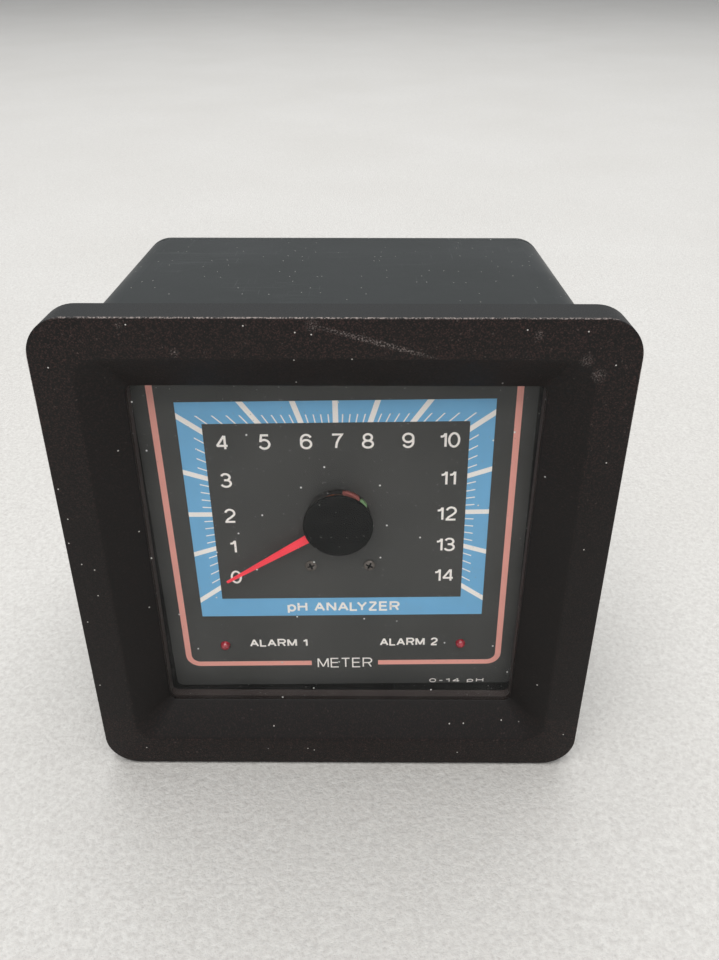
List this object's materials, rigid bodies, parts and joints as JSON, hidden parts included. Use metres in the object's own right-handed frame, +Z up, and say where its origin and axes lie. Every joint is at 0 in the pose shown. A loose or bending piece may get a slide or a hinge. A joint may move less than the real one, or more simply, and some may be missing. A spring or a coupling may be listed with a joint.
{
  "type": "ph meter",
  "caption": "Square panel-mounted pH analyzer with a moving-pointer dial behind a window, two alarm lamps, a deep case and screw terminals with adjusters on its rear cover.",
  "frame": {"origin": "centre of the flat rear face of the bezel, the plane that seats on the front of the panel", "axes": "+Y points back into the panel along the case, +Z is up on the dial, +X is to the right of the reader"},
  "size_m": [0.144, 0.1095, 0.144],
  "materials": {
    "bezel_plastic": "dark brown-black moulding with a fine spark-eroded texture",
    "case_plastic": "smooth satin dark grey moulding",
    "window_clear": "clear polished sheet",
    "black_trim": "black moulding",
    "dial_paint": "matt dark grey paint with printed scale",
    "dark_screw": "blackened",
    "white_nylon": "natural nylon",
    "red_lamp": "tinted diffused lamp",
    "pointer_red": "matt fluorescent red paint",
    "brass": "machined",
    "cap_black": "matt black",
    "zinc_steel": "zinc plated",
    "magnet": "sintered",
    "aluminium_plate": "stamped",
    "copper_wire": "enamelled copper",
    "jewel": "polished",
    "red_wire": "insulated wire",
    "green_wire": "insulated wire",
    "circuit_board": "laminate with solder mask",
    "gasket_rubber": "black rubber",
    "plated_contact": "tin plated",
    "pot_body": "moulded",
    "lamination_steel": "varnished laminations",
    "winding_tape": "polyester tape",
    "relay_cover": "moulded",
    "ribbon_grey": "flat cable"
  },
  "bodies": {
    "housing": {"bezel": "bezel_plastic", "window_pane": "window_clear", "window_retainer": "black_trim", "bezel_screws": "zinc_steel", "dial_plate": "dial_paint", "dial_screws": "dark_screw", "dial_spacers": "white_nylon", "alarm_lamp_1": "red_lamp", "alarm_lamp_2": "red_lamp", "lamp_spacers": "white_nylon", "movement_frame": "aluminium_plate", "front_bobbin": "white_nylon", "rear_bobbin": "white_nylon", "sine_coil": "copper_wire", "cosine_coil": "copper_wire", "front_bearing": "jewel", "rear_bearing": "jewel", "shield_can": "zinc_steel", "red_coil_lead": "red_wire", "green_coil_lead": "green_wire", "front_board": "circuit_board", "board_screws": "zinc_steel", "case": "case_plastic", "clamp_inserts": "brass", "seam_gasket": "gasket_rubber", "rear_cover": "case_plastic", "rear_cover_screws": "zinc_steel", "upper_terminal_block": "black_trim", "lower_terminal_block": "black_trim", "terminal_plates": "plated_contact", "terminal_screws": "zinc_steel", "standardize_pot": "pot_body", "slope_pot": "pot_body", "alarm_1_pot": "pot_body", "alarm_2_pot": "pot_body", "adjuster_nuts": "zinc_steel", "main_board": "circuit_board", "board_standoffs": "zinc_steel", "transformer_core": "lamination_steel", "transformer_winding": "winding_tape", "transformer_bracket": "zinc_steel", "alarm_relay_1": "relay_cover", "alarm_relay_2": "relay_cover", "filter_capacitors": "relay_cover", "regulator": "black_trim", "heat_sink": "aluminium_plate", "amplifier_chips": "black_trim", "ribbon_cable": "ribbon_grey", "ribbon_headers": "black_trim"},
    "pointer_assembly": {"pointer": "pointer_red", "pointer_hub": "brass", "hub_cap": "cap_black", "pointer_counterweight": "brass", "spindle": "zinc_steel", "stop_arm": "zinc_steel", "rotor_magnet": "magnet"},
    "standardize_adjuster": {"standardize_shaft": "white_nylon"},
    "slope_adjuster": {"slope_shaft": "white_nylon"},
    "alarm_1_adjuster": {"alarm_1_shaft": "white_nylon"},
    "alarm_2_adjuster": {"alarm_2_shaft": "white_nylon"}
  },
  "joints": [
    {"name": "pointer_swing", "type": "hinge", "parent": "housing", "child": "pointer_assembly", "pos_m": [0, 0.0009, 0.0096], "axis": [0, 1, 0], "range_deg": [-5, 252]},
    {"name": "standardize_turn", "type": "hinge", "parent": "housing", "child": "standardize_adjuster", "pos_m": [-0.042, 0.089, 0], "axis": [0, 1, 0], "range_deg": [-135, 135]},
    {"name": "slope_turn", "type": "hinge", "parent": "housing", "child": "slope_adjuster", "pos_m": [-0.014, 0.089, 0], "axis": [0, 1, 0], "range_deg": [-135, 135]},
    {"name": "alarm_1_turn", "type": "hinge", "parent": "housing", "child": "alarm_1_adjuster", "pos_m": [0.014, 0.089, 0], "axis": [0, 1, 0], "range_deg": [-135, 135]},
    {"name": "alarm_2_turn", "type": "hinge", "parent": "housing", "child": "alarm_2_adjuster", "pos_m": [0.042, 0.089, 0], "axis": [0, 1, 0], "range_deg": [-135, 135]}
  ]
}
